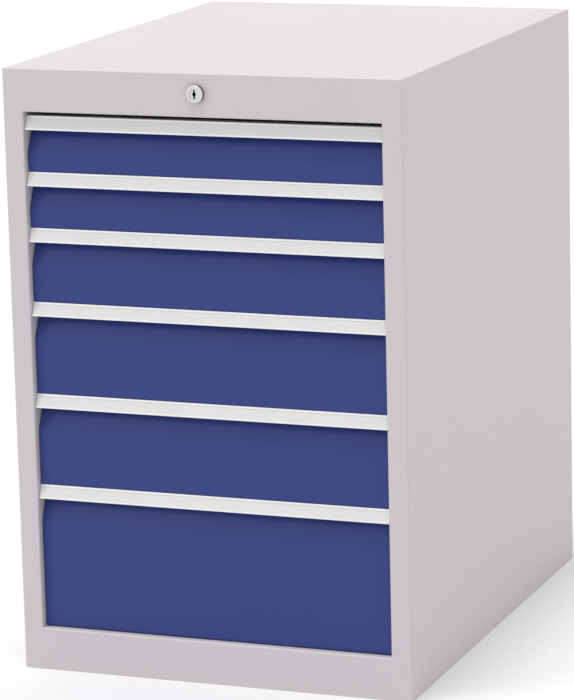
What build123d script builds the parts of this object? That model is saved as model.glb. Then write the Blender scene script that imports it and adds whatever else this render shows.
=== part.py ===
from build123d import *
import os
from math import cos, radians, sin

os.makedirs("parts", exist_ok=True)

# Drawer cabinet, millimetres. +Z up, the front faces -Y, and the origin is the centre of the footprint.

# Carcass of folded sheet
cabinet_width = 555.0
cabinet_depth = 736.0
base_height = 58.0
header_height = 57.0
drawer_module = 25.0
drawer_module_counts = (3, 3, 4, 5, 5, 8)
module_rise = 4.0
stile_width = 28.0
carcass_sheet = 1.25
carcass_bend = 1.25
frame_return = 25.0
frame_hem = 12.0
rear_flange = 25.0
floor_flange = 25.0
lid_flange = 18.0
lid_round = 1.0
panel_clearance = 0.5
pan_drop = 2.0
pan_flange = 20.0

# Runner posts
post_setback = 0.5
post_width = 40.0
post_flange = 12.0
post_inset = 13.0
post_rise = 8.0
post_sheet = 1.25
post_bend = 1.0
post_slot_length = 14.0
post_slot_width = 4.0
post_slot_inset = 11.0
post_screw_inset = 28.0

# Rails, carriages and rollers
rail_gap = 2.0
rail_sheet = 1.5
rail_bend = 1.0
rail_inner_height = 24.0
rail_flange = 8.5
rail_lift = 6.5
rail_shortening = 10.0
carriage_thickness = 2.0
carriage_height = 20.0
carriage_inset = 5.0
carriage_clearance = 0.5
roller_clearance = 0.3
roller_edge_round = 0.6
pin_radius = 4.0
pin_clearance = 0.1
pin_stop = 0.2
outer_roller_shares = (0.54, 0.75, 0.97)
inner_roller_shares = (0.03, 0.25, 0.46)
screw_radius = 2.5
screw_head_radius = 5.0
screw_head_height = 0.9
screw_head_round = 0.5
screw_drive_radius = 2.0
screw_drive_depth = 0.6
screw_length = 5.0
screw_clearance = 0.1

# Drawer trays
tray_sheet = 1.0
tray_bend = 1.0
tray_floor_gap = 8.0
tray_headroom = 12.0
tray_rim = 7.0
tray_rim_lip = 5.0
rear_space = 115.0
divider_slot_width = 3.0
divider_slot_height = 20.0
divider_slot_drop = 8.0
divider_slot_pitch = 25.0

# Drawer fronts
front_gap = 1.8
front_recess = 10.0
front_depth = 16.5
front_sheet = 1.25
front_bend = 0.4
front_lip = 25.0
front_side_flange = 26.0
front_end_inset = 0.95
front_bottom_gap = 0.4
bottom_drawer_gap = 1.0
grip_wall_gap = 3.0
grip_slope_height = 30.0
grip_shoulder_height = 18.0

# Grip handles
handle_gap = 0.8
handle_recess = 2.5
handle_drop = 6.0
handle_height = 18.3
handle_lean = 7.5
handle_sheet = 2.0
handle_outer_round = 0.7
handle_inner_round = 0.6
handle_overhang = 1.0
handle_lip = 6.0
label_margin = 1.6
label_lip = 0.9
label_lip_thickness = 0.4
label_groove = 0.6
label_thickness = 0.45
label_clearance = 0.1

# Lock
lock_across = -3.0
lock_above_opening = 31.0
lock_rim_radius = 11.75
lock_rim_height = 6.0
lock_rim_round = 1.1
lock_barrel_radius = 9.5
lock_barrel_length = 30.0
lock_hole_clearance = 0.2
lock_nut_across = 26.0
lock_nut_height = 5.0
plug_radius = 7.0
plug_clearance = 0.1
plug_sink = 0.5
plug_tail = 2.0
plug_round = 0.4
key_slot_width = 2.6
key_slot_height = 12.0
key_hole_radius = 2.6
key_depth = 12.0
shaft_radius = 4.0
shaft_clearance = 0.3
lock_turn = 90.0
crank_radius = 10.0
crank_thickness = 3.0
crank_round = 5.0
crank_pin_radius = 2.5
crank_slot_clearance = 0.6

# Locking bar, its guides and the catches on the trays
bar_width = 36.0
bar_thickness = 3.0
bar_clearance = 1.0
bar_foot = 4.0
bar_head = 10.0
bar_play = 0.3
hook_width = 20.0
hook_thickness = 3.0
hook_clearance = 1.0
hook_gap = 3.0
catch_width = 24.0
catch_sheet = 1.5
catch_bend = 0.5
catch_reach = 40.0
catch_drop = 14.0
catch_foot = 16.0
catch_below_rim = 10.0
guide_sheet = 1.5
guide_height = 16.0
guide_lip = 5.0
guide_flange = 14.0
guide_offset = 30.0
hanger_width = 24.0
hanger_setback = 18.0
hanger_foot = 20.0

# Places that follow from the sizes
half_width = cabinet_width / 2
front = -cabinet_depth / 2
back = cabinet_depth / 2
opening_half = half_width - stile_width
opening_bottom = base_height
drawers_bottom = opening_bottom + module_rise
opening_top = drawers_bottom + drawer_module * sum(drawer_module_counts)
cabinet_height = opening_top + header_height
lid_underside = cabinet_height - carcass_sheet
wall_inside = half_width - carcass_sheet
back_inside = back - 2 * carcass_sheet
pan_top = opening_bottom - pan_drop

post_face = opening_half - post_setback
rail_outer_height = rail_inner_height + 2 * rail_sheet
rail_half = rail_inner_height / 2
carriage_outer = post_face - rail_flange - carriage_clearance
carriage_inner = carriage_outer - carriage_thickness
drawer_rail_tip = carriage_inner - carriage_clearance
tray_half = drawer_rail_tip - rail_flange
tray_front = front + front_recess + front_depth
tray_back = back - rear_space
tray_length = tray_back - tray_front
rail_front = front + frame_return + rail_gap
rail_length = tray_length - rail_shortening
rail_back = rail_front + rail_length
carriage_front = rail_front + carriage_inset
carriage_length = rail_length - 2 * carriage_inset
post_starts = (rail_front + post_inset, rail_back - post_inset - post_width)

front_half = opening_half - front_gap
front_face = front + front_recess
handle_half = opening_half - handle_gap
grip_wall = tray_front - grip_wall_gap

lock_height = opening_top + lock_above_opening
lock_face = front - lock_rim_height
plug_back = front + lock_barrel_length + plug_tail
bar_rise = 2 * crank_radius * sin(radians(lock_turn / 2))
catch_back = tray_back + catch_reach
hook_front = catch_back - catch_sheet - hook_clearance - hook_thickness
crank_front = catch_back + bar_clearance
bar_front = crank_front + crank_thickness + bar_clearance
bar_back = bar_front + bar_thickness


def folded_sheet(points, thickness, inner_radius, outer_radius):
    """Closed face of a bent sheet: the points run along one face, with the sheet on their left."""
    corners = [Vector(*point) for point in points]
    runs = [(end - start).normalized() for start, end in zip(corners, corners[1:])]
    sides = [Vector(-run.Y, run.X) for run in runs]
    far = [corners[0] + sides[0] * thickness]
    near_radii = [0]
    far_radii = [0]
    for corner, before, after in zip(corners[1:-1], sides, sides[1:]):
        far.append(corner + (before + after) * (thickness / (1 + before.dot(after))))
        turns_left = before.cross(after).Z > 0
        near_radii.append(outer_radius if turns_left else inner_radius)
        far_radii.append(inner_radius if turns_left else outer_radius)
    far.append(corners[-1] + sides[-1] * thickness)
    radii = near_radii + [0, 0] + far_radii[::-1]
    return make_face(FilletPolyline(*corners, *reversed(far), radius=radii, close=True))


def bent(points, thickness, bend):
    """Section of a sheet with an equal inner radius at every bend."""
    return folded_sheet(points, thickness, bend, bend + thickness)


def along_x(face, low, high):
    """Solid with a (y, z) section between two x places."""
    return extrude(Plane.YZ.offset(low) * face, amount=high - low, dir=(1, 0, 0))


def along_y(face, low, high):
    """Solid with an (x, z) section between two y places."""
    return extrude(Plane.XZ.offset(-low) * face, amount=high - low, dir=(0, 1, 0))


def along_z(face, low, high):
    """Solid with an (x, y) section between two heights."""
    return extrude(Plane.XY.offset(low) * face, amount=high - low, dir=(0, 0, 1))


def block(x_span, y_span, z_span):
    """Rectangular solid between pairs of planes."""
    spans = (x_span, y_span, z_span)
    middle = [(low + high) / 2 for low, high in spans]
    size = [high - low for low, high in spans]
    return Pos(*middle) * Box(*size)


def rod_x(radius, y, z, low, high):
    """Round bar along X."""
    return along_x(Pos(y, z) * Circle(radius), low, high)


def rod_y(radius, x, z, low, high):
    """Round bar along Y."""
    return along_y(Pos(x, z) * Circle(radius), low, high)


def both_sides(shapes):
    """The right-hand shapes and their mirror images on the left."""
    return shapes + [mirror(shape, about=Plane.YZ) for shape in shapes]


def save(shapes, name):
    """One file for a sub-part, which may be several loose solids."""
    solids = shapes if isinstance(shapes, list) else [shapes]
    export_step(solids[0] if len(solids) == 1 else Compound(children=solids), f"parts/{name}.step")


def drawer_places():
    """Bottom and top module lines of each drawer, from the top drawer down."""
    places = []
    count_below = sum(drawer_module_counts)
    for count in drawer_module_counts:
        top = drawers_bottom + count_below * drawer_module
        count_below -= count
        places.append((drawers_bottom + count_below * drawer_module, top))
    return places


def rail_center(bottom):
    return bottom + tray_floor_gap + rail_lift + rail_outer_height / 2


def catch_height(top):
    return top - tray_headroom - catch_below_rim


def side_panel():
    """Right side wall with its stile, the folded edge in the opening, and rear and floor flanges."""
    wall = [(opening_half, front), (half_width, front), (half_width, back), (half_width - rear_flange, back)]
    plain = bent(wall, carcass_sheet, carcass_bend)
    framed = bent([(opening_half, front + frame_return)] + wall, carcass_sheet, carcass_bend)
    panel = along_z(plain, 0, opening_bottom)
    panel += along_z(framed, opening_bottom, opening_top)
    panel += along_z(plain, opening_top, lid_underside)
    flange_x = (half_width - floor_flange, wall_inside)
    flange_y = (front + carcass_sheet, back - carcass_sheet)
    return panel + block(flange_x, flange_y, (0, carcass_sheet))


def back_panel():
    edge = wall_inside - carcass_bend - panel_clearance
    heights = (carcass_sheet + panel_clearance, lid_underside - panel_clearance)
    return block((-edge, edge), (back_inside, back - carcass_sheet), heights)


def top_panel():
    """Flat lid with rounded edges and turned-down flanges inside the walls."""
    outline = RectangleRounded(cabinet_width, cabinet_depth, carcass_sheet + carcass_bend)
    lid = along_z(outline, lid_underside, cabinet_height)
    lid = fillet(lid.faces().sort_by(Axis.Z)[-1].edges(), lid_round)
    flange_z = (lid_underside - lid_flange, lid_underside)
    inner = wall_inside - carcass_sheet
    side_y = (front + frame_return, back_inside - carcass_sheet)
    for flange in both_sides([block((inner, wall_inside), side_y, flange_z)]):
        lid += flange
    return lid + block((-wall_inside, wall_inside), (back_inside - carcass_sheet, back_inside), flange_z)


def header_rail():
    """Rail above the drawers, folded back under its lower edge, with the lock's hole."""
    inside = front + frame_return
    path = [(front, lid_underside), (front, opening_top), (inside, opening_top), (inside, opening_top + frame_hem)]
    rail = along_x(bent(path, carcass_sheet, carcass_bend), -opening_half, opening_half)
    hole_radius = lock_barrel_radius + lock_hole_clearance
    hole = rod_y(hole_radius, lock_across, lock_height, front, front + carcass_sheet)
    return rail - hole


def base_rail():
    """Rail below the drawers, with a hemmed top and a floor flange."""
    inside = front + frame_return
    path = [(inside, opening_bottom - frame_hem), (inside, opening_bottom), (front, opening_bottom), (front, 0)]
    rail = along_x(bent(path, carcass_sheet, carcass_bend), -opening_half, opening_half)
    flange_y = (front + carcass_sheet, front + floor_flange)
    return rail + block((-opening_half, opening_half), flange_y, (0, carcass_sheet))


def bottom_panel():
    """Floor pan with all four edges turned down."""
    low = pan_top - pan_flange
    near = front + frame_return
    path = [(back_inside, low), (back_inside, pan_top), (near, pan_top), (near, low)]
    pan = along_x(bent(path, carcass_sheet, carcass_bend), -wall_inside, wall_inside)
    corner = carcass_sheet + carcass_bend
    flange_y = (near + corner, back_inside - corner)
    flange_x = (wall_inside - carcass_sheet, wall_inside)
    for flange in both_sides([block(flange_x, flange_y, (low, pan_top - carcass_sheet))]):
        pan += flange
    return pan


def runner_post(start):
    """Right-hand upright of hat section, with hanging slots and a screw hole for each rail."""
    end = start + post_width
    web = post_face + post_sheet
    section = [(wall_inside, start - post_flange), (wall_inside, start), (web, start)]
    section += [(web, end), (wall_inside, end), (wall_inside, end + post_flange)]
    top = opening_top + post_rise
    post = along_z(bent(section, post_sheet, post_bend), pan_top, top)
    slot = SlotOverall(post_slot_length, post_slot_width, rotation=90)
    for row in range(sum(drawer_module_counts)):
        height = drawers_bottom + (row + 0.5) * drawer_module
        post -= along_x(Pos(start + post_slot_inset, height) * slot, post_face, web)
    for bottom, _ in drawer_places():
        hole_radius = screw_radius + screw_clearance
        post -= rod_x(hole_radius, start + post_screw_inset, rail_center(bottom), post_face, web)
    return post


def cabinet_rail(bottom):
    """Right-hand channel, open towards the drawer."""
    middle = rail_center(bottom)
    tip = post_face - rail_flange
    low = middle - rail_outer_height / 2
    high = middle + rail_outer_height / 2
    section = bent([(tip, low), (post_face, low), (post_face, high), (tip, high)], rail_sheet, rail_bend)
    rail = along_y(section, rail_front, rail_back)
    for start in post_starts:
        hole_radius = screw_radius + screw_clearance
        rail -= rod_x(hole_radius, start + post_screw_inset, middle, post_face - rail_sheet, post_face)
    return rail


def rail_screw(start, bottom):
    """Pan-head screw from the cabinet rail into the post."""
    y = start + post_screw_inset
    z = rail_center(bottom)
    seat = post_face - rail_sheet
    top = seat - screw_head_height
    head = rod_x(screw_head_radius, y, z, top, seat)
    head = fillet(head.edges().sort_by(Axis.X)[0], screw_head_round)
    recess = along_x(Pos(y, z) * RegularPolygon(screw_drive_radius, 6), top, top + screw_drive_depth)
    return head + rod_x(screw_radius, y, z, seat, seat + screw_length) - recess


def drawer_rail(bottom):
    """Right-hand channel on the tray, open towards the cabinet rail."""
    middle = rail_center(bottom)
    low = middle - rail_outer_height / 2
    high = middle + rail_outer_height / 2
    path = [(drawer_rail_tip, high), (tray_half, high), (tray_half, low), (drawer_rail_tip, low)]
    return along_y(bent(path, rail_sheet, rail_bend), rail_front, rail_back)


def roller_places(shares):
    return [carriage_front + share * carriage_length for share in shares]


def outer_pin_end():
    return post_face - rail_sheet - screw_head_height - roller_clearance


def inner_pin_end():
    return tray_half + rail_sheet + roller_clearance


def carriage(bottom):
    """Right-hand bar with rivet pins for its rollers on both faces."""
    middle = rail_center(bottom)
    heights = (middle - carriage_height / 2, middle + carriage_height / 2)
    bar = block((carriage_inner, carriage_outer), (carriage_front, carriage_front + carriage_length), heights)
    for y in roller_places(outer_roller_shares):
        bar += rod_x(pin_radius, y, middle, carriage_outer, outer_pin_end())
    for y in roller_places(inner_roller_shares):
        bar += rod_x(pin_radius, y, middle, inner_pin_end(), carriage_inner)
    return bar


def roller(y, z, low, high):
    """Roller with a bore and rounded running edges."""
    body = rod_x(rail_half - roller_clearance, y, z, low, high)
    body = fillet(body.edges().filter_by(GeomType.CIRCLE), roller_edge_round)
    return body - rod_x(pin_radius + pin_clearance, y, z, low, high)


def rollers(bottom):
    """Right-hand rollers: one row runs in the cabinet rail, the other in the drawer rail."""
    z = rail_center(bottom)
    outer_low = carriage_outer + roller_clearance
    outer_high = outer_pin_end() - pin_stop
    inner_low = inner_pin_end() + pin_stop
    inner_high = carriage_inner - roller_clearance
    outer_row = [roller(y, z, outer_low, outer_high) for y in roller_places(outer_roller_shares)]
    inner_row = [roller(y, z, inner_low, inner_high) for y in roller_places(inner_roller_shares)]
    return outer_row + inner_row


def tray_section(floor, rim):
    """Floor, two sides and outward rims of a tray, as one bent sheet."""
    lower_rim = rim - tray_sheet
    rim_end = tray_half + tray_rim - tray_sheet
    lip = lower_rim - tray_rim_lip
    path = [(-rim_end, lip), (-rim_end, lower_rim), (-tray_half, lower_rim), (-tray_half, floor)]
    path += [(tray_half, floor), (tray_half, lower_rim), (rim_end, lower_rim), (rim_end, lip)]
    return bent(path, tray_sheet, tray_bend)


def divider_slots(rim, y_span):
    """Cutters for the row of slots that hold dividers in one end wall."""
    high = rim - divider_slot_drop
    count = int((tray_half - divider_slot_pitch) / divider_slot_pitch)
    half_slot = divider_slot_width / 2
    heights = (high - divider_slot_height, high)
    places = [index * divider_slot_pitch for index in range(-count, count + 1)]
    return [block((x - half_slot, x + half_slot), y_span, heights) for x in places]


def tray(bottom, top):
    """Drawer tray with its end walls and the catch behind it."""
    floor = bottom + tray_floor_gap
    rim = top - tray_headroom
    body = along_y(tray_section(floor, rim), tray_front, tray_back)
    inner = tray_half - tray_sheet / 2
    heights = (floor + tray_sheet / 2, rim - tray_sheet)
    walls = ((tray_front, tray_front + tray_sheet), (tray_back - tray_sheet, tray_back))
    for wall in walls:
        body += block((-inner, inner), wall, heights)
        body -= divider_slots(rim, wall)
    return body + Pos(lock_across, 0, 0) * catch(top)


def catch(top):
    """Bracket on the tray's rear wall, with a lip turned down for the hook."""
    high = catch_height(top)
    path = [(catch_back, high - catch_drop), (catch_back, high), (tray_back, high), (tray_back, high - catch_foot)]
    return along_x(bent(path, catch_sheet, catch_bend), -catch_width / 2, catch_width / 2)


def front_bottom(bottom):
    """Lower edge of a drawer front: just above the next handle, or the base rail."""
    if bottom > drawers_bottom:
        return bottom - handle_drop + front_bottom_gap
    return opening_bottom + bottom_drawer_gap


def front_profile(bottom, top):
    """Outer face of a drawer front from the top edge down to the lower rear edge, as (y, z) points."""
    high = top - handle_drop - handle_sheet
    shoulder = high - grip_shoulder_height
    low = front_bottom(bottom)
    knee = shoulder - grip_slope_height
    face = [(tray_front, high), (grip_wall, high), (grip_wall, shoulder), (front_face, knee)]
    return face + [(front_face, low), (tray_front, low)]


def drawer_front(bottom, top):
    """Folded front: upright face, slope into the grip recess, closed sides and rear flanges."""
    profile = front_profile(bottom, top)
    low = profile[-1][1]
    high = profile[0][1]
    lip = (tray_front, low + front_lip)
    panel = along_x(bent(profile + [lip], front_sheet, front_bend), -front_half, front_half)
    side = make_face(Polyline(*profile, close=True))
    inset = front_sheet + front_bend
    rear_y = (tray_front - front_sheet, tray_front)
    rear_z = (low + inset, high - inset)
    rear_x = (front_half - front_side_flange, front_half)
    end = along_x(offset(side, -front_end_inset), front_half - front_sheet, front_half)
    for piece in both_sides([end, block(rear_x, rear_y, rear_z)]):
        panel += piece
    return panel


def handle_points(top):
    """Outer face of a handle from its rear edge over the face to its lower lip."""
    high = top - handle_drop
    low = high - handle_height
    tip = front + handle_recess
    path = [(tray_front + handle_overhang, high), (tip + handle_lean, high), (tip, low)]
    return path + [(tip + handle_lip, low)]


def label_places(top):
    """Plane on the handle's face that looks into the sheet, and the face's length."""
    _, upper, lower, _ = [Vector(0, *point) for point in handle_points(top)]
    up = (upper - lower).normalized()
    inward = up.cross(Vector(1, 0, 0))
    return Plane((upper + lower) / 2, x_dir=(1, 0, 0), z_dir=inward), (upper - lower).length


def handle(top):
    """Extruded grip with a grooved face for the label strip."""
    section = folded_sheet(handle_points(top), handle_sheet, handle_inner_round, handle_outer_round)
    grip = along_x(section, -handle_half, handle_half)
    face, length = label_places(top)
    window = length - 2 * label_margin - 2 * label_lip
    groove = length - 2 * label_margin
    across = 2 * handle_half
    grip -= extrude(face * Rectangle(across, window), amount=label_lip_thickness)
    floor = face.offset(label_lip_thickness)
    return grip - extrude(floor * Rectangle(across, groove), amount=label_groove)


def label_strip(top):
    """Strip that slides into the handle's groove."""
    face, length = label_places(top)
    width = length - 2 * label_margin - 2 * label_clearance
    seat = face.offset(label_lip_thickness + label_groove - label_thickness)
    return extrude(seat * Rectangle(2 * handle_half, width), amount=label_thickness)


def lock_housing():
    """Barrel with a round rim in front of the header."""
    rim = rod_y(lock_rim_radius, 0, lock_height, lock_face, front)
    rim = fillet(rim.edges().filter_by(GeomType.CIRCLE).sort_by(Axis.Y)[0], lock_rim_round)
    back_end = front + lock_barrel_length
    body = rim + rod_y(lock_barrel_radius, 0, lock_height, front, back_end)
    return body - rod_y(plug_radius + plug_clearance, 0, lock_height, lock_face, back_end)


def lock_nut():
    """Hexagon nut that clamps the housing behind the header."""
    near = front + carcass_sheet
    flats = RegularPolygon(lock_nut_across / 2, 6, major_radius=False)
    nut = along_y(Pos(0, lock_height) * flats, near, near + lock_nut_height)
    return nut - rod_y(lock_barrel_radius + pin_clearance, 0, lock_height, near, near + lock_nut_height)


def lock_plug():
    """Turning plug with its keyway."""
    near = lock_face + plug_sink
    plug = rod_y(plug_radius, 0, lock_height, near, plug_back)
    plug = fillet(plug.edges().filter_by(GeomType.CIRCLE).sort_by(Axis.Y)[0], plug_round)
    keyway = SlotOverall(key_slot_height, key_slot_width, rotation=90) + Circle(key_hole_radius)
    return plug - along_y(Pos(0, lock_height) * keyway, near, near + key_depth)


def crank_offset():
    """Place of the crank pin from the shaft's axis, with the lock open."""
    half_turn = radians(lock_turn / 2)
    return -crank_radius * cos(half_turn), -crank_radius * sin(half_turn)


def lock_shaft():
    """Shaft from the plug to the back, with a crank arm and pin."""
    across, down = crank_offset()
    shaft = rod_y(shaft_radius, 0, lock_height, plug_back, crank_front)
    arm = make_hull([Pos(0, lock_height) * Circle(crank_round).edge(),
                     Pos(across, lock_height + down) * Circle(crank_round).edge()])
    crank = along_y(arm, crank_front, crank_front + crank_thickness)
    pin_end = bar_back + bar_clearance
    pin = rod_y(crank_pin_radius, across, lock_height + down, crank_front + crank_thickness, pin_end)
    return shaft + crank + pin


def hook_ledge(top):
    """Height of a hook's ledge, low enough to stay under the catch when the bar is up."""
    return catch_height(top) - catch_drop - hook_clearance - bar_rise


def locking_bar():
    """Upright bar with the crank's slot."""
    across, down = crank_offset()
    pin_height = lock_height + down
    bar = block((-bar_width / 2, bar_width / 2), (bar_front, bar_back), (pan_top + bar_foot, pin_height + bar_head))
    reach = crank_pin_radius + crank_slot_clearance
    slot_x = (-crank_radius - reach, across + reach)
    return bar - block(slot_x, (bar_front, bar_back), (pin_height - reach, pin_height + reach))


def bar_hook(top):
    """Angle welded to the bar, with a tip that rises behind the catch of one drawer."""
    across = (-hook_width / 2, hook_width / 2)
    ledge = hook_ledge(top)
    tip = catch_height(top) - catch_drop - hook_gap
    foot = block(across, (hook_front, bar_front), (ledge - hook_thickness, ledge))
    return foot + block(across, (hook_front, hook_front + hook_thickness), (ledge, tip))


def bar_guide(low):
    """Bracket on the back panel that wraps round the bar's edges."""
    heights = (low, low + guide_height)
    inner = bar_width / 2 + bar_play
    outer = inner + guide_sheet
    web_front = bar_back + bar_play
    lip_back = bar_front - bar_play
    lip_front = lip_back - guide_sheet
    guide = block((-outer, outer), (web_front, web_front + guide_sheet), heights)
    leg = block((inner, outer), (lip_front, back_inside), heights)
    lip = block((outer - guide_lip, outer), (lip_front, lip_back), heights)
    flange = block((inner, outer + guide_flange), (back_inside - guide_sheet, back_inside), heights)
    for piece in both_sides([leg, lip, flange]):
        guide += piece
    return guide


def shaft_hanger():
    """Bracket under the lid that carries the shaft near its crank."""
    near = crank_front - hanger_setback
    low = lock_height - hanger_width / 2
    path = [(near, low), (near, lid_underside), (near - hanger_foot, lid_underside)]
    hanger = along_x(bent(path, guide_sheet, guide_sheet), -hanger_width / 2, hanger_width / 2)
    bore = rod_y(shaft_radius + shaft_clearance, 0, lock_height, near - guide_sheet, near)
    return hanger - bore


def bar_guides():
    """Lower guide, upper guide and the shaft's hanger."""
    lower = pan_top + guide_offset
    upper = opening_top - guide_height
    return [bar_guide(lower), bar_guide(upper), shaft_hanger()]


right_side = side_panel()
save(right_side, "side_panel_right")
save(mirror(right_side, about=Plane.YZ), "side_panel_left")
save(back_panel(), "back_panel")
save(top_panel(), "top_panel")
save(header_rail(), "header_rail")
save(base_rail(), "base_rail")
save(bottom_panel(), "bottom_panel")

posts = [runner_post(start) for start in post_starts]
save(posts, "runner_posts_right")
save([mirror(post, about=Plane.YZ) for post in posts], "runner_posts_left")

rails = [cabinet_rail(bottom) for bottom, _ in drawer_places()]
save(rails, "cabinet_rails_right")
save([mirror(rail, about=Plane.YZ) for rail in rails], "cabinet_rails_left")
screws = [rail_screw(start, bottom) for start in post_starts for bottom, _ in drawer_places()]
save(both_sides(screws), "rail_screws")

lock_place = Pos(lock_across, 0, 0)
save(lock_place * lock_housing(), "lock_housing")
save(lock_place * lock_nut(), "lock_nut")
save(lock_place * lock_plug(), "lock_plug")
save(lock_place * lock_shaft(), "lock_shaft")
bar_solids = [locking_bar()] + [bar_hook(top) for _, top in drawer_places()]
save([lock_place * solid for solid in bar_solids], "locking_bar")
save([lock_place * solid for solid in bar_guides()], "bar_guides")

for number, (bottom, top) in enumerate(drawer_places(), start=1):
    save(drawer_front(bottom, top), f"drawer_{number}_front")
    save(tray(bottom, top), f"drawer_{number}_tray")
    save(handle(top), f"drawer_{number}_handle")
    save(label_strip(top), f"drawer_{number}_label_strip")
    save(both_sides([drawer_rail(bottom)]), f"drawer_{number}_rails")
    save(both_sides([carriage(bottom)]), f"drawer_{number}_carriages")
    save(both_sides(rollers(bottom)), f"drawer_{number}_rollers")
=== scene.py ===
import math

import bmesh
import bpy
from bpy.props import FloatProperty, FloatVectorProperty, PointerProperty
from mathutils import Matrix, Vector


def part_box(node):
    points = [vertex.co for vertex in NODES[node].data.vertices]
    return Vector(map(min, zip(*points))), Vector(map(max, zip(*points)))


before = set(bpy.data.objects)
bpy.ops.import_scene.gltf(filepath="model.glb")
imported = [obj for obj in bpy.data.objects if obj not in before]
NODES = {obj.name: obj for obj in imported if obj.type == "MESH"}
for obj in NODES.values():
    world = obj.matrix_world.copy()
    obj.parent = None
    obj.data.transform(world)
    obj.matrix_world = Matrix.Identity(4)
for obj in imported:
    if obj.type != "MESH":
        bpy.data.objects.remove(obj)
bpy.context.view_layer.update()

bl_info = {
    "name": "Drawer cabinet",
    "version": (1, 0, 0),
    "blender": (4, 5, 0),
    "location": "View3D > Sidebar > Cabinet",
    "description": "Finishes a steel drawer cabinet and sets it in a plain studio",
    "category": "Object",
}

# The cabinet stands on z = 0 and its front faces -Y. Lengths are metres.

DRAWERS = range(1, 1 + sum(name.endswith("_tray") for name in NODES))

CARCASS = ("side_panel_left", "side_panel_right", "back_panel", "top_panel", "header_rail", "base_rail",
           "bottom_panel")
POSTS = ("runner_posts_left", "runner_posts_right")
CABINET_SLIDES = ("cabinet_rails_left", "cabinet_rails_right")

# Directions of the drawn lines: the pattern is stretched along the axis with the small number.
ALONG_X = (0.01, 1.0, 1.0)
ALONG_Y = (1.0, 0.01, 1.0)
ALONG_Z = (1.0, 1.0, 0.01)
TURNED = (0.05, 1.0, 1.0)

# Kinds of socket, and the outputs that all finishes have
COLOUR = "NodeSocketColor"
NUMBER = "NodeSocketFloat"
DIRECTION = "NodeSocketVector"
FINISH_SOCKETS = (("Colour", COLOUR), ("Roughness", NUMBER), ("Height", NUMBER))

# Spans that hold nearly all values of the noise, and what they are mapped to
NOISE_SPAN = (0.3, 0.7)
LINE_SPAN = (0.25, 0.75)
PAINT_TONES = (0.985, 1.015)
CLOUD_GLOSS = (0.92, 1.08)
LINE_GLOSS = (0.88, 1.12)
STAIN_GLOSS = (0.93, 1.07)
MOULD_CONTRAST = 0.015

# Patterns per metre, and the height of the waves in flat sheet
PAINT_SPECK_SCALE = 2600.0
PAINT_CLOUD_SCALE = 5.0
PAINT_WAVE_SCALE = 3.2
PAINT_WAVE_DEPTH = 0.0006
METAL_STAIN_SCALE = 28.0
MOULD_CLOUD_SCALE = 40.0
FLOOR_CLOUD_SCALE = 1.5

# Strength and distance of the bump of each finish
PAINT_BUMP = (1.0, 1.0)
METAL_BUMP = (0.25, 0.00002)
MOULD_BUMP = (0.3, 0.00002)

# Shares of the depth between which a painted shade grows, and how far the painted shade in the keyway of the
# plug reaches
PAINTED_SHADE_SHARES = (0.25, 1.0)
KEYWAY_PAINTED_SHADE_LENGTH = 0.0121

# Studio: name of each light, property with its strength, azimuth, elevation and spread in degrees
LIGHTS = (
    ("Overhead_light", "overhead_strength", -25, 84, 20),
    ("Left_light", "left_strength", -50, 23, 14),
    ("Right_light", "right_strength", 82, 20, 14),
)
LIGHT_DISTANCE = 3.0
FLOOR_SEGMENTS = 96
FLOOR_TONE = 0.99
FLOOR_ROUGHNESS = 0.9
SENSOR_WIDTH = 36.0


def drawer_nodes(part):
    """The nodes of one part on every drawer, from the top down."""
    return [f"drawer_{number}_{part}" for number in DRAWERS]


# Properties


class CabinetFinish(bpy.types.PropertyGroup):
    """Colours and surface of the paint, the metal and the moulded parts."""

    carcass_colour: FloatVectorProperty(
        name="Carcass paint", description="Pale warm grey of the carcass", subtype="COLOR",
        size=3, min=0, max=1, default=(0.578, 0.545, 0.570))
    front_colour: FloatVectorProperty(
        name="Front paint", description="Blue of the drawer fronts", subtype="COLOR",
        size=3, min=0, max=1, default=(0.016, 0.034, 0.200))
    tray_colour: FloatVectorProperty(
        name="Tray paint", description="Grey of the drawer trays", subtype="COLOR",
        size=3, min=0, max=1, default=(0.50, 0.49, 0.50))
    handle_colour: FloatVectorProperty(
        name="Handle metal", description="Anodised aluminium of the handles", subtype="COLOR",
        size=3, min=0, max=1, default=(0.76, 0.76, 0.76))
    label_colour: FloatVectorProperty(
        name="Label strip", description="Blank strip in each handle", subtype="COLOR",
        size=3, min=0, max=1, default=(0.69, 0.685, 0.687))
    zinc_colour: FloatVectorProperty(
        name="Zinc plate", description="Plated steel of rails, posts and lock rods", subtype="COLOR",
        size=3, min=0, max=1, default=(0.62, 0.63, 0.64))
    nylon_colour: FloatVectorProperty(
        name="Roller nylon", description="Moulded nylon of the rollers", subtype="COLOR",
        size=3, min=0, max=1, default=(0.72, 0.71, 0.67))
    nickel_colour: FloatVectorProperty(
        name="Lock nickel", description="Satin nickel of the lock", subtype="COLOR",
        size=3, min=0, max=1, default=(0.66, 0.645, 0.65))
    paint_roughness: FloatProperty(
        name="Paint roughness", description="Roughness of the powder coat", subtype="FACTOR",
        min=0, max=1, default=0.46)
    paint_specular: FloatProperty(
        name="Paint specular", description="Specular level of the powder coat", subtype="FACTOR",
        min=0, max=1, default=0.45)
    peel_size: FloatProperty(
        name="Orange peel size", description="Width of one bump of the powder coat", unit="LENGTH",
        min=0.0002, max=0.01, default=0.0011)
    peel_depth: FloatProperty(
        name="Orange peel depth", description="Height of the bumps of the powder coat", unit="LENGTH",
        min=0, max=0.0005, default=0.000016)
    brush_size: FloatProperty(
        name="Drawn line size", description="Spacing of the drawn lines in the metal", unit="LENGTH",
        min=0.0001, max=0.01, default=0.0006)


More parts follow.
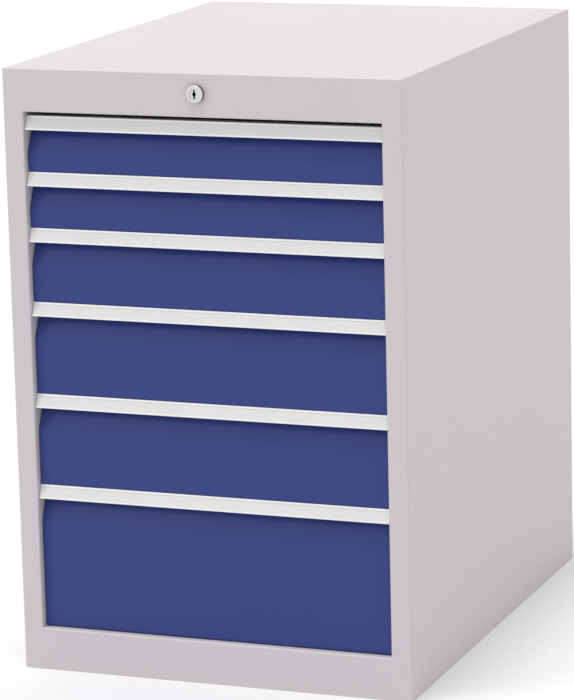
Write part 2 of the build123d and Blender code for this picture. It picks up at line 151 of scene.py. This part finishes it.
class CabinetStudio(bpy.types.PropertyGroup):
    """Floor, light and camera."""

    floor_colour: FloatVectorProperty(
        name="Floor", description="Colour of the plain floor", subtype="COLOR",
        size=3, min=0, max=1, default=(0.80, 0.80, 0.80))
    floor_size: FloatProperty(
        name="Floor size", description="Width of the round floor", unit="LENGTH", min=1, default=60.0)
    sky_strength: FloatProperty(
        name="Sky strength", description="Even light from all round", min=0, default=0.71)
    overhead_strength: FloatProperty(
        name="Overhead strength", description="Strength of the wide light overhead", min=0, default=1.76)
    left_strength: FloatProperty(
        name="Left strength", description="Strength of the light from the left front", min=0, default=0.42)
    right_strength: FloatProperty(
        name="Right strength", description="Strength of the light from the right", min=0, default=0.10)
    camera_azimuth: FloatProperty(
        name="Camera azimuth", description="Side that the camera looks from, to the right of the front",
        subtype="ANGLE", default=math.radians(21.184))
    camera_elevation: FloatProperty(
        name="Camera elevation", description="Height angle of the camera", subtype="ANGLE",
        default=math.radians(12.230))
    camera_roll: FloatProperty(
        name="Camera roll", description="Tilt of the picture", subtype="ANGLE", default=math.radians(-1.415))
    camera_distance: FloatProperty(
        name="Camera distance", description="Distance from the camera to the point that it looks at",
        unit="LENGTH", min=0.5, default=5.1158)
    camera_lens: FloatProperty(
        name="Camera lens", description="Focal length on a 36 mm sensor",
        unit="CAMERA", min=1, default=187.30)
    aim: FloatVectorProperty(
        name="Camera aim", description="Point that the camera looks at", subtype="TRANSLATION",
        size=3, unit="LENGTH", default=(-0.02836, 0.0, 0.37669))


# Shader nodes


def add_node(tree, kind, inputs=None, **settings):
    """A shader node with its settings, and inputs given as values or as sockets to link."""
    node = tree.nodes.new(kind)
    for name, value in settings.items():
        setattr(node, name, value)
    for name, value in (inputs or {}).items():
        socket = node.inputs[name]
        if isinstance(value, bpy.types.NodeSocket):
            tree.links.new(value, socket)
        else:
            socket.default_value = value
    return node


def new_group(name, inputs, outputs):
    """An empty node group with named sockets, and its input and output nodes."""
    tree = bpy.data.node_groups.new(name, "ShaderNodeTree")
    for side, sockets in (("INPUT", inputs), ("OUTPUT", outputs)):
        for label, kind in sockets:
            tree.interface.new_socket(label, in_out=side, socket_type=kind)
    return tree, tree.nodes.new("NodeGroupInput"), tree.nodes.new("NodeGroupOutput")


def math_node(tree, operation, first, second):
    return add_node(tree, "ShaderNodeMath", {0: first, 1: second}, operation=operation).outputs[0]


def surface_place(tree):
    """Place on the surface in the cabinet's own frame, so that a pattern stays on its piece."""
    return add_node(tree, "ShaderNodeTexCoord").outputs["Object"]


def noise(tree, place, scale, detail, roughness=0.5):
    inputs = {"Vector": place, "Scale": scale, "Detail": detail, "Roughness": roughness}
    return add_node(tree, "ShaderNodeTexNoise", inputs).outputs[0]


def ramp(tree, value, span, low, high):
    """Maps a value from a span to low and high, clamped."""
    spans = {"Value": value, "From Min": span[0], "From Max": span[1], "To Min": low, "To Max": high}
    return add_node(tree, "ShaderNodeMapRange", spans, clamp=True).outputs["Result"]


def around_one(tree, contrast):
    """The two tones that lie a contrast below and above one."""
    return math_node(tree, "SUBTRACT", 1.0, contrast), math_node(tree, "ADD", 1.0, contrast)


def tinted(tree, colour, value):
    """A colour times a grey value."""
    mix = add_node(tree, "ShaderNodeMix", {"Factor": 1.0}, data_type="RGBA", blend_type="MULTIPLY")
    tree.links.new(colour, mix.inputs["A"])
    tree.links.new(value, mix.inputs["B"])
    return mix.outputs["Result"]


def finish_outputs(tree, given, made, shade, gloss, height):
    """Feeds the outputs that all finishes have: tinted colour, varied roughness and height."""
    tree.links.new(tinted(tree, given.outputs["Colour"], shade), made.inputs["Colour"])
    tree.links.new(math_node(tree, "MULTIPLY", given.outputs["Roughness"], gloss), made.inputs["Roughness"])
    tree.links.new(height, made.inputs["Height"])


def powder_coat_group():
    """Baked powder paint: orange peel, slight mottling and the soft waves of flat sheet."""
    inputs = (("Colour", COLOUR), ("Roughness", NUMBER), ("Peel Size", NUMBER), ("Peel Depth", NUMBER))
    tree, given, made = new_group("Powder coat", inputs, FINISH_SOCKETS)
    place = surface_place(tree)
    peel_scale = math_node(tree, "DIVIDE", 1.0, given.outputs["Peel Size"])
    peel = noise(tree, place, peel_scale, detail=2.0, roughness=0.45)
    speck = noise(tree, place, PAINT_SPECK_SCALE, detail=1.0)
    cloud = noise(tree, place, PAINT_CLOUD_SCALE, detail=3.0, roughness=0.55)
    wave = noise(tree, place, PAINT_WAVE_SCALE, detail=0.0)
    shade = math_node(tree, "MULTIPLY", ramp(tree, cloud, NOISE_SPAN, *PAINT_TONES),
                      ramp(tree, speck, NOISE_SPAN, *PAINT_TONES))
    bumps = math_node(tree, "MULTIPLY", peel, given.outputs["Peel Depth"])
    waves = math_node(tree, "MULTIPLY", wave, PAINT_WAVE_DEPTH)
    height = math_node(tree, "ADD", bumps, waves)
    finish_outputs(tree, given, made, shade, ramp(tree, cloud, NOISE_SPAN, *CLOUD_GLOSS), height)
    return tree


def drawn_metal_group():
    """Fine lines along the rolling or drawing direction, with slight stains in the tone."""
    inputs = (("Colour", COLOUR), ("Roughness", NUMBER), ("Line Size", NUMBER), ("Along", DIRECTION),
              ("Contrast", NUMBER))
    tree, given, made = new_group("Drawn metal", inputs, FINISH_SOCKETS)
    place = surface_place(tree)
    squeezed = add_node(tree, "ShaderNodeVectorMath", {0: place, 1: given.outputs["Along"]},
                        operation="MULTIPLY").outputs[0]
    line_scale = math_node(tree, "DIVIDE", 1.0, given.outputs["Line Size"])
    lines = noise(tree, squeezed, line_scale, detail=3.0, roughness=0.6)
    stain = noise(tree, place, METAL_STAIN_SCALE, detail=4.0, roughness=0.6)
    tones = around_one(tree, given.outputs["Contrast"])
    shade = math_node(tree, "MULTIPLY", ramp(tree, lines, LINE_SPAN, *tones),
                      ramp(tree, stain, NOISE_SPAN, *tones))
    gloss = math_node(tree, "MULTIPLY", ramp(tree, lines, LINE_SPAN, *LINE_GLOSS),
                      ramp(tree, stain, NOISE_SPAN, *STAIN_GLOSS))
    finish_outputs(tree, given, made, shade, gloss, lines)
    return tree


def moulded_grain_group():
    """Moulded plastic or plain paper: fine grain and a faint cloudiness."""
    inputs = (("Colour", COLOUR), ("Roughness", NUMBER), ("Grain Size", NUMBER), ("Contrast", NUMBER))
    tree, given, made = new_group("Moulded grain", inputs, FINISH_SOCKETS)
    place = surface_place(tree)
    grain_scale = math_node(tree, "DIVIDE", 1.0, given.outputs["Grain Size"])
    grain = noise(tree, place, grain_scale, detail=2.0)
    cloud = noise(tree, place, MOULD_CLOUD_SCALE, detail=3.0)
    tones = around_one(tree, given.outputs["Contrast"])
    shade = math_node(tree, "MULTIPLY", ramp(tree, grain, NOISE_SPAN, *tones),
                      ramp(tree, cloud, NOISE_SPAN, *tones))
    finish_outputs(tree, given, made, shade, ramp(tree, cloud, NOISE_SPAN, *CLOUD_GLOSS), grain)
    return tree


def painted_depth_shade_group():
    """Painted shade: darkens a colour with the depth behind a face, up to a length, as in a slot or on the
    side of a turned rim.
    """
    inputs = (("Colour", COLOUR), ("Face", NUMBER), ("Depth", NUMBER), ("Shade", NUMBER), ("Length", NUMBER))
    tree, given, made = new_group("Depth shade", inputs, (("Colour", COLOUR),))
    along = add_node(tree, "ShaderNodeSeparateXYZ", {"Vector": surface_place(tree)}).outputs["Y"]
    behind = math_node(tree, "SUBTRACT", along, given.outputs["Face"])
    share = math_node(tree, "DIVIDE", behind, given.outputs["Depth"])
    past = math_node(tree, "GREATER_THAN", behind, given.outputs["Length"])
    shade = math_node(tree, "MAXIMUM", ramp(tree, share, PAINTED_SHADE_SHARES, 1.0, given.outputs["Shade"]), past)
    tree.links.new(tinted(tree, given.outputs["Colour"], shade), made.inputs["Colour"])
    return tree


def group_once(name, build):
    return bpy.data.node_groups.get(name) or build()


def new_material(name, group, values, bump, **shader):
    """A material whose colour, roughness and bump come from a group. bump is (strength, distance)."""
    material = bpy.data.materials.new(name)
    material.use_nodes = True
    tree = material.node_tree
    tree.nodes.clear()
    surface = add_node(tree, "ShaderNodeGroup", node_tree=group)
    for label, value in values.items():
        surface.inputs[label].default_value = value
    strength, distance = bump
    raised = add_node(tree, "ShaderNodeBump", {"Strength": strength, "Distance": distance,
                                               "Height": surface.outputs["Height"]})
    shown = {"Base Color": surface.outputs["Colour"], "Roughness": surface.outputs["Roughness"],
             "Normal": raised.outputs["Normal"]}
    principled = add_node(tree, "ShaderNodeBsdfPrincipled", {**shown, **shader})
    add_node(tree, "ShaderNodeOutputMaterial", {"Surface": principled.outputs["BSDF"]})
    return material


def opaque(colour):
    return (*colour, 1.0)


def powder_paint(name, colour, finish):
    values = {"Colour": opaque(colour), "Roughness": finish.paint_roughness, "Peel Size": finish.peel_size,
              "Peel Depth": finish.peel_depth}
    group = group_once("Powder coat", powder_coat_group)
    return new_material(name, group, values, PAINT_BUMP, **{"Specular IOR Level": finish.paint_specular})


def drawn_metal(name, colour, finish, along, roughness, contrast, metallic):
    values = {"Colour": opaque(colour), "Roughness": roughness, "Line Size": finish.brush_size,
              "Along": along, "Contrast": contrast}
    group = group_once("Drawn metal", drawn_metal_group)
    return new_material(name, group, values, METAL_BUMP, Metallic=metallic)


def paint_shade_behind(material, **values):
    """Lets a material darken behind a face, as painted shade."""
    tree = material.node_tree
    shader = tree.nodes["Principled BSDF"]
    shade = add_node(tree, "ShaderNodeGroup", node_tree=group_once("Depth shade", painted_depth_shade_group))
    for label, value in values.items():
        shade.inputs[label].default_value = value
    tree.links.new(shader.inputs["Base Color"].links[0].from_socket, shade.inputs["Colour"])
    tree.links.new(shade.outputs["Colour"], shader.inputs["Base Color"])


def moulded(name, colour, grain, roughness):
    values = {"Colour": opaque(colour), "Roughness": roughness, "Grain Size": grain,
              "Contrast": MOULD_CONTRAST}
    group = group_once("Moulded grain", moulded_grain_group)
    return new_material(name, group, values, MOULD_BUMP)


def dress(material, names):
    """Puts a material in every slot of the named CAD nodes."""
    for name in names:
        for slot in NODES[name].material_slots:
            slot.material = material


# Operators


class CABINET_OT_carcass(bpy.types.Operator):
    """Paint the carcass in pale grey powder coat"""

    bl_idname = "cabinet.carcass"
    bl_label = "Carcass"

    def execute(self, context):
        finish = context.scene.cabinet_finish
        dress(powder_paint("Carcass grey", finish.carcass_colour, finish), CARCASS)
        return {"FINISHED"}


class CABINET_OT_fronts(bpy.types.Operator):
    """Paint the drawer fronts in blue powder coat"""

    bl_idname = "cabinet.fronts"
    bl_label = "Drawer fronts"

    def execute(self, context):
        finish = context.scene.cabinet_finish
        dress(powder_paint("Front blue", finish.front_colour, finish), drawer_nodes("front"))
        return {"FINISHED"}


class CABINET_OT_trays(bpy.types.Operator):
    """Paint the drawer trays in grey powder coat"""

    bl_idname = "cabinet.trays"
    bl_label = "Drawer trays"

    def execute(self, context):
        finish = context.scene.cabinet_finish
        dress(powder_paint("Tray grey", finish.tray_colour, finish), drawer_nodes("tray"))
        return {"FINISHED"}


class CABINET_OT_handles(bpy.types.Operator):
    """Finish the grip handles in anodised aluminium, with their label strips"""

    bl_idname = "cabinet.handles"
    bl_label = "Handles and label strips"

    def execute(self, context):
        finish = context.scene.cabinet_finish
        metal = drawn_metal("Handle aluminium", finish.handle_colour, finish, ALONG_X,
                            roughness=0.40, contrast=0.012, metallic=0.5)
        dress(metal, drawer_nodes("handle"))
        label = moulded("Label white", finish.label_colour, grain=0.0003, roughness=0.5)
        dress(label, drawer_nodes("label_strip"))
        return {"FINISHED"}


class CABINET_OT_slides(bpy.types.Operator):
    """Finish the posts, rails, carriages, screws and rollers"""

    bl_idname = "cabinet.slides"
    bl_label = "Slides"

    def execute(self, context):
        finish = context.scene.cabinet_finish
        rails = drawn_metal("Rail zinc", finish.zinc_colour, finish, ALONG_Y,
                            roughness=0.36, contrast=0.06, metallic=0.9)
        dress(rails, CABINET_SLIDES)
        dress(rails, drawer_nodes("rails"))
        dress(rails, drawer_nodes("carriages"))
        posts = drawn_metal("Post zinc", finish.zinc_colour, finish, ALONG_Z,
                            roughness=0.42, contrast=0.08, metallic=0.9)
        dress(posts, POSTS)
        dress(posts, ("rail_screws",))
        nylon = moulded("Roller nylon", finish.nylon_colour, grain=0.0006, roughness=0.42)
        dress(nylon, drawer_nodes("rollers"))
        return {"FINISHED"}


class CABINET_OT_lock(bpy.types.Operator):
    """Finish the lock, its rods and the locking bar"""

    bl_idname = "cabinet.lock"
    bl_label = "Lock"

    def execute(self, context):
        finish = context.scene.cabinet_finish
        nickel = {"roughness": 0.42, "contrast": 0.02, "metallic": 0.8}
        rim = drawn_metal("Lock nickel", finish.nickel_colour, finish, TURNED, **nickel)
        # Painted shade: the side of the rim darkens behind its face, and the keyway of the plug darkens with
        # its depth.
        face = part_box("lock_housing")[0].y
        rim_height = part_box("header_rail")[0].y - face
        paint_shade_behind(rim, Face=face, Depth=0.0022, Shade=0.12, Length=rim_height)
        dress(rim, ("lock_housing", "lock_nut"))
        plug = drawn_metal("Plug nickel", finish.nickel_colour, finish, TURNED, **nickel)
        paint_shade_behind(plug, Face=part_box("lock_plug")[0].y, Depth=0.003, Shade=0.02, Length=KEYWAY_PAINTED_SHADE_LENGTH)
        dress(plug, ("lock_plug",))
        steel = drawn_metal("Lock rod zinc", finish.zinc_colour, finish, ALONG_Z,
                            roughness=0.38, contrast=0.06, metallic=0.9)
        dress(steel, ("lock_shaft", "locking_bar", "bar_guides"))
        return {"FINISHED"}


def round_floor(radius):
    """Flat disc of one face."""
    mesh = bpy.data.meshes.new("Studio_floor")
    shape = bmesh.new()
    bmesh.ops.create_circle(shape, cap_ends=True, segments=FLOOR_SEGMENTS, radius=radius)
    shape.to_mesh(mesh)
    shape.free()
    floor = bpy.data.objects.new("Studio_floor", mesh)
    bpy.context.scene.collection.objects.link(floor)
    return floor


def floor_material(colour):
    """Pale matt floor with a faint unevenness."""
    material = bpy.data.materials.new("Studio floor")
    material.use_nodes = True
    tree = material.node_tree
    tree.nodes.clear()
    cloud = noise(tree, surface_place(tree), FLOOR_CLOUD_SCALE, detail=2.0)
    mix = add_node(tree, "ShaderNodeMix", {"Factor": cloud}, data_type="RGBA")
    mix.inputs["A"].default_value = opaque(colour)
    mix.inputs["B"].default_value = opaque([FLOOR_TONE * part for part in colour])
    matt = {"Base Color": mix.outputs["Result"], "Roughness": FLOOR_ROUGHNESS, "Specular IOR Level": 0.0}
    principled = add_node(tree, "ShaderNodeBsdfPrincipled", matt)
    add_node(tree, "ShaderNodeOutputMaterial", {"Surface": principled.outputs["BSDF"]})
    return material


def studio_sky(strength):
    """Even light from all round, seen as plain white by the camera and in reflections."""
    world = bpy.data.worlds.new("Studio sky")
    bpy.context.scene.world = world
    world.use_nodes = True
    tree = world.node_tree
    tree.nodes.clear()
    ray = add_node(tree, "ShaderNodeLightPath")
    seen = math_node(tree, "MAXIMUM", ray.outputs["Is Camera Ray"], ray.outputs["Is Glossy Ray"])
    seen = math_node(tree, "MAXIMUM", seen, ray.outputs["Is Transmission Ray"])
    level = ramp(tree, seen, (0.0, 1.0), strength, 1.0)
    background = add_node(tree, "ShaderNodeBackground", {"Color": (1.0, 1.0, 1.0, 1.0), "Strength": level})
    add_node(tree, "ShaderNodeOutputWorld", {"Surface": background.outputs["Background"]})


def from_angles(azimuth, elevation):
    """Unit vector towards a place that is seen from the front at an azimuth and an elevation."""
    flat = math.cos(elevation)
    return Vector((math.sin(azimuth) * flat, -math.cos(azimuth) * flat, math.sin(elevation)))


def even_light(name, towards, spread, strength):
    """Even light from one direction, soft like a large panel."""
    lamp = bpy.data.lights.new(name, "SUN")
    lamp.angle = spread
    lamp.energy = strength
    light = bpy.data.objects.new(name, lamp)
    light.location = towards * LIGHT_DISTANCE
    light.rotation_euler = towards.to_track_quat("Z", "Y").to_euler()
    bpy.context.scene.collection.objects.link(light)


class CABINET_OT_studio(bpy.types.Operator):
    """Set the floor, the light and the camera"""

    bl_idname = "cabinet.studio"
    bl_label = "Studio"

    def execute(self, context):
        studio = context.scene.cabinet_studio
        floor = round_floor(studio.floor_size / 2)
        floor.data.materials.append(floor_material(studio.floor_colour))
        studio_sky(studio.sky_strength)
        for name, strength, *degrees in LIGHTS:
            azimuth, elevation, spread = map(math.radians, degrees)
            even_light(name, from_angles(azimuth, elevation), spread, getattr(studio, strength))
        lens = bpy.data.cameras.new("Camera")
        lens.sensor_width = SENSOR_WIDTH
        lens.lens = studio.camera_lens
        camera = bpy.data.objects.new("Camera", lens)
        towards = from_angles(studio.camera_azimuth, studio.camera_elevation)
        turn = Matrix.Rotation(studio.camera_roll, 3, towards)
        camera.location = Vector(studio.aim) + towards * studio.camera_distance
        camera.rotation_euler = (turn @ towards.to_track_quat("Z", "Y").to_matrix()).to_euler()
        context.scene.collection.objects.link(camera)
        context.scene.camera = camera
        context.scene.view_settings.view_transform = "Standard"
        return {"FINISHED"}


class CABINET_PT_panel(bpy.types.Panel):
    """Lists the steps that dress the cabinet"""

    bl_idname = "CABINET_PT_panel"
    bl_label = "Drawer cabinet"
    bl_space_type = "VIEW_3D"
    bl_region_type = "UI"
    bl_category = "Cabinet"

    def draw(self, context):
        column = self.layout.column()
        for step in STEPS:
            column.operator(step.bl_idname)
        for group in (context.scene.cabinet_finish, context.scene.cabinet_studio):
            for name in type(group).__annotations__:
                column.prop(group, name)


STEPS = (CABINET_OT_carcass, CABINET_OT_fronts, CABINET_OT_trays, CABINET_OT_handles, CABINET_OT_slides,
         CABINET_OT_lock, CABINET_OT_studio)
CLASSES = (CabinetFinish, CabinetStudio, *STEPS, CABINET_PT_panel)


def register():
    for cls in CLASSES:
        bpy.utils.register_class(cls)
    bpy.types.Scene.cabinet_finish = PointerProperty(type=CabinetFinish)
    bpy.types.Scene.cabinet_studio = PointerProperty(type=CabinetStudio)


def unregister():
    del bpy.types.Scene.cabinet_studio
    del bpy.types.Scene.cabinet_finish
    for cls in reversed(CLASSES):
        bpy.utils.unregister_class(cls)


def main():
    """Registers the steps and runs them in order."""
    register()
    bpy.ops.cabinet.carcass()
    bpy.ops.cabinet.fronts()
    bpy.ops.cabinet.trays()
    bpy.ops.cabinet.handles()
    bpy.ops.cabinet.slides()
    bpy.ops.cabinet.lock()
    bpy.ops.cabinet.studio()


if __name__ == "__main__":
    main()
